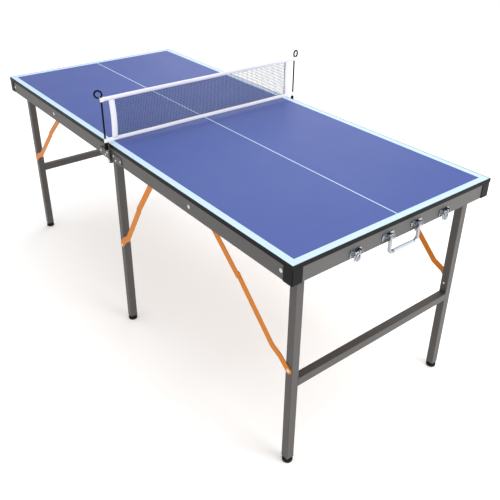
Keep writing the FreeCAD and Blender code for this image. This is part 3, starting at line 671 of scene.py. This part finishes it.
def make_grip(material):
    """Sleeve on the handle's bar: crowned, with a small lip at each end."""
    low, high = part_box("handle_grip")
    centre = (low + high) / 2
    outer = (high.x - low.x) / 2 - GRIP_CLEARANCE
    half = (high.y - low.y) / 2
    profile = []
    for k in range(GRIP_STEPS + 1):
        t = -1 + 2 * k / GRIP_STEPS
        lip = GRIP_LIP if abs(t) > GRIP_LIP_START else 0.0
        profile.append((t * half, outer - GRIP_CROWN * t * t + lip))
    profile += [(half, GRIP_BORE), (-half, GRIP_BORE)]
    rings = []
    for a in range(GRIP_SIDES):
        angle = 2 * math.pi * a / GRIP_SIDES
        across = Vector((math.cos(angle), 0, math.sin(angle)))
        rings.append([centre + radius * across + Vector((0, along, 0)) for along, radius in profile])
    sleeve = Builder()
    sleeve.rings(rings, closed_loop=True)
    piece = sleeve.piece("grip_sleeve", material)
    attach(piece, "handle")
    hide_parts("handle_grip")


def plate_section(t, half):
    """Cross-section of a lever's plate, t of the way down: a shallow pressed channel with turned edges."""
    crown = PLATE_CROWN * math.sin(math.pi * (CROWN_START + (1 - CROWN_START) * t))
    front = []
    for k in range(SECTION_STEPS + 1):
        u = -1 + 2 * k / SECTION_STEPS
        edge = max(0.0, abs(u) - EDGE_START) / (1 - EDGE_START)
        front.append((u * half, crown * (1 - EDGE_TURN * edge * edge)))
    back = [(side, out - SHEET) for side, out in front]
    return front + back[::-1]


def add_plate(lever, pivot, wide, low):
    """The pressed plate, which hangs from the pivot and tapers to a turned-out tail."""
    top = pivot.z + PLATE_RISE
    drop = top - low - SHEET
    rings = []
    for k in range(PLATE_STEPS + 1):
        t = k / PLATE_STEPS
        half = wide * (1 - PLATE_TAPER * t**1.5)
        tail = max(0.0, t - TAIL_START) / (1 - TAIL_START)
        x = pivot.x - PLATE_BACK + TAIL_TURN * tail * tail
        z = top - drop * t
        rings.append([Vector((x + out, pivot.y + side, z)) for side, out in plate_section(t, half)])
    lever.rings(rings)


def add_pin(lever, pivot, pin_half, wide):
    """The pin across the lever, and the two hubs that it turns in."""
    across = Vector((0, 1, 0))
    lever.tube([pivot - pin_half * across, pivot + pin_half * across], PIN_RADIUS, PIN_SIDES)
    for sign in (-1, 1):
        side = sign * wide * across
        lever.tube([pivot + side, pivot + 0.5 * side], HUB_RADIUS, HUB_SIDES)


def add_wire(lever, pivot, wide, low):
    """The wire loop in front of the plate, a rectangle with well rounded corners."""
    top = pivot.z - WIRE_TOP
    bottom = low + WIRE_BOTTOM
    path = []
    for k in range(WIRE_POINTS):
        angle = 2 * math.pi * k / WIRE_POINTS
        round_parts = math.cos(angle), math.sin(angle)
        side, rise = (math.copysign(abs(part) ** WIRE_SQUARENESS, part) for part in round_parts)
        z = (top + bottom) / 2 + rise * (top - bottom) / 2
        path.append((pivot.x + WIRE_OUT, pivot.y + side * wide * WIRE_WIDTH, z))
    lever.tube(path, WIRE_RADIUS, WIRE_SIDES, closed_loop=True)


def make_lever(name, node, material):
    """Latch lever: plate, pin and wire loop. The lever's node and its body have the same name."""
    low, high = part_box(node)
    x, _, z = joint_place(node)
    pivot = Vector((x, (low.y + high.y) / 2, z))
    pin_half = (high.y - low.y) / 2
    wide = pin_half - PIN_END
    lever = Builder()
    add_plate(lever, pivot, wide, low.z)
    add_pin(lever, pivot, pin_half, wide)
    add_wire(lever, pivot, wide, low.z)
    piece = lever.piece(name, material)
    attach(piece, node)
    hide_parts(node)


# Light, floor and camera


def area_light(name, place, target, size, power):
    """A square lamp that faces a point."""
    data = bpy.data.lights.new(name, "AREA")
    data.shape = "SQUARE"
    data.size = size
    data.energy = power
    lamp = bpy.data.objects.new(name, data)
    lamp.location = place
    lamp.rotation_euler = (Vector(target) - Vector(place)).to_track_quat("-Z", "Y").to_euler()
    bpy.context.scene.collection.objects.link(lamp)


def make_studio():
    """Pale floor, even white surroundings and three soft lights."""
    scene = bpy.context.scene
    scene.view_settings.view_transform = "Standard"
    world = scene.world or bpy.data.worlds.new("studio")
    scene.world = world
    world.use_nodes = True
    background = world.node_tree.nodes["Background"]
    background.inputs["Color"].default_value = (*WHITE, 1.0)
    background.inputs["Strength"].default_value = WORLD_STRENGTH
    area_light("key", place=(0.4, 0.6, 3.2), target=(0, 0, 0.5), size=2.8, power=40.0)
    area_light("end_fill", place=(3.4, 0.9, 1.2), target=(0.6, 0, 0.4), size=1.8, power=62.0)
    area_light("back_fill", place=(-2.4, 2.4, 2.4), target=(0, 0, 0.5), size=2.4, power=22.0)
    corners = [(x * FLOOR_REACH, y * FLOOR_REACH, 0) for x, y in ((-1, -1), (1, -1), (1, 1), (-1, 1))]
    floor = mesh_piece("floor", corners, [(0, 1, 2, 3)], floor_paper(), smooth=False)


def make_camera():
    """Camera that looks along its angles, with its view moved down a little."""
    azimuth, elevation, roll = (math.radians(v) for v in (CAMERA_AZIMUTH, CAMERA_ELEVATION, CAMERA_ROLL))
    outward = Vector((math.sin(azimuth), -math.cos(azimuth), 0))
    back = outward * math.cos(elevation) + Vector((0, 0, math.sin(elevation)))
    level = Vector((math.cos(azimuth), math.sin(azimuth), 0))
    above = back.cross(level)
    right = level * math.cos(roll) + above * math.sin(roll)
    up = above * math.cos(roll) - level * math.sin(roll)
    data = bpy.data.cameras.new("camera")
    data.sensor_width = SENSOR
    data.lens = CAMERA_LENS
    data.shift_y = CAMERA_SHIFT
    camera = bpy.data.objects.new("camera", data)
    camera.matrix_world = Matrix.Translation(CAMERA_PLACE) @ Matrix((right, up, back)).transposed().to_4x4()
    bpy.context.scene.collection.objects.link(camera)
    bpy.context.scene.camera = camera


def main():
    make_camera()
    materials = make_materials()
    dress_nodes(materials)
    make_net(materials["cord"])
    make_tapes(materials["tape"])
    make_grip(materials["grip"])
    make_lever("lever_plate_near", "latch_lever_near", materials["chrome"])
    make_lever("lever_plate_far", "latch_lever_far", materials["chrome"])
    make_studio()


main()
